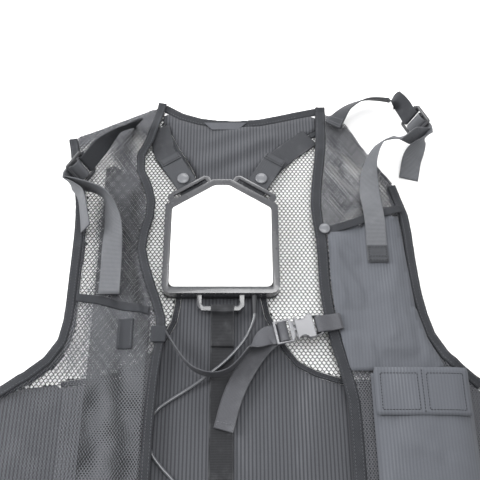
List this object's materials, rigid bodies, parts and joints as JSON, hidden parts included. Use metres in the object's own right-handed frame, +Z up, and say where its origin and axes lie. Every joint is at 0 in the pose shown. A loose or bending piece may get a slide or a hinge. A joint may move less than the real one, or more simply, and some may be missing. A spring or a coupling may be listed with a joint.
{
  "type": "safety harness vest",
  "caption": "Mesh work vest laid open on its back, with a pod held by webbing in its back, a buckled chest strap, shoulder adjusters and pockets.",
  "frame": {"origin": "middle of the garment's box on the surface it lies on, without the free power lead", "axes": "+Y towards the neck, +Z up out of the opened front, +X towards the buckle side"},
  "size_m": [0.495, 0.621, 0.0441],
  "materials": {
    "binding": "woven edge tape",
    "board": "lacquered board",
    "darkPlastic": "fine texture",
    "darkWebbing": "woven webbing",
    "face": "smooth white",
    "frame": "satin moulded plastic",
    "lead": "smooth jacket",
    "mesh": "open knitted mesh, matt",
    "metal": "satin",
    "paleMesh": "coarse open mesh, matt",
    "paleWebbing": "woven webbing",
    "plastic": "satin moulded plastic",
    "ribbed": "ribbed polyester, matt",
    "webbing": "woven webbing, light wear"
  },
  "bodies": {
    "vest": {"back_panel": "ribbed", "back_mesh_left": "paleMesh", "back_mesh_right": "paleMesh", "back_seam_tape_left": "binding", "back_seam_tape_right": "binding", "neck_binding": "binding", "hem_binding": "binding", "back_armhole_binding_left": "binding", "back_armhole_binding_right": "binding", "front_panel_left": "mesh", "front_panel_right": "mesh", "front_edge_binding_left": "binding", "front_edge_binding_right": "binding", "armhole_binding_left": "binding", "armhole_binding_right": "binding", "lining_left": "mesh", "mesh_pocket_left": "mesh", "pocket_binding_left": "binding", "pocket_patch_left": "webbing", "chest_pocket_right": "ribbed", "pocket_band_right": "binding", "pocket_snap_cap": "plastic", "lower_pocket_right": "ribbed", "pod_frame": "frame", "face_plate": "face", "rear_cover": "darkPlastic", "pod_screw_1": "metal", "pod_screw_2": "metal", "pod_screw_3": "metal", "pod_screw_4": "metal", "heat_sink": "metal", "thermo_module": "face", "circuit_board": "board", "suspension_strap_left": "darkWebbing", "suspension_strap_right": "darkWebbing", "centre_webbing": "darkWebbing", "shoulder_strap_left": "darkWebbing", "ladder_lock_left": "plastic", "adjuster_strap_left": "webbing", "shoulder_strap_right": "darkWebbing", "ladder_lock_right": "plastic", "adjuster_strap_right": "webbing", "buckle_male": "plastic", "chest_strap": "webbing", "chest_tab_left": "webbing", "neck_label": "paleWebbing", "cable_gland": "darkPlastic", "power_lead": "lead", "lead_coil": "lead", "lead_plug": "darkPlastic"},
    "fan": {"fan_rotor": "darkPlastic"},
    "buckle_socket": {"buckle_female": "plastic", "chest_loop_right": "webbing"},
    "prong_upper": {"buckle_prong_upper": "plastic"},
    "prong_lower": {"buckle_prong_lower": "plastic"},
    "flap_left": {"snap_flap_left": "paleWebbing", "snap_cap_left": "plastic"},
    "flap_right": {"snap_flap_right": "paleWebbing", "snap_cap_right": "plastic"},
    "pocket_flap": {"pocket_flap_right": "ribbed"}
  },
  "joints": [
    {"name": "fan_spin", "type": "hinge", "parent": "vest", "child": "fan", "pos_m": [-0.01508, 0.10147, 0.005], "axis": [0, 0, 1], "continuous": true},
    {"name": "buckle_release", "type": "slide", "parent": "vest", "child": "buckle_socket", "axis": [0.9789, 0.2045, 0], "range_m": [0, 0.022]},
    {"name": "prong_upper_flex", "type": "hinge", "parent": "vest", "child": "prong_upper", "pos_m": [0.05871, 0.0261, 0.0195], "axis": [0, 0, -1], "range_deg": [0, 8], "stiffness_Nm_per_rad": 0.02},
    {"name": "prong_lower_flex", "type": "hinge", "parent": "vest", "child": "prong_lower", "pos_m": [0.06116, 0.01436, 0.0195], "axis": [0, 0, 1], "range_deg": [0, 8], "stiffness_Nm_per_rad": 0.02},
    {"name": "snap_flap_left_lift", "type": "hinge", "parent": "vest", "child": "flap_left", "pos_m": [-0.05403, 0.19155, 0.0106], "axis": [0.8494, 0.5278, 0], "range_deg": [0, 95]},
    {"name": "snap_flap_right_lift", "type": "hinge", "parent": "vest", "child": "flap_right", "pos_m": [0.02387, 0.19155, 0.0106], "axis": [0.8494, -0.5278, 0], "range_deg": [0, 95]},
    {"name": "pocket_flap_lift", "type": "hinge", "parent": "vest", "child": "pocket_flap", "pos_m": [0.18092, -0.01853, 0.0207], "axis": [-1, 0, 0], "range_deg": [0, 110]}
  ],
  "couplings": [
    {"joint": "prong_lower_flex", "follows": "prong_upper_flex", "ratio": 1}
  ]
}
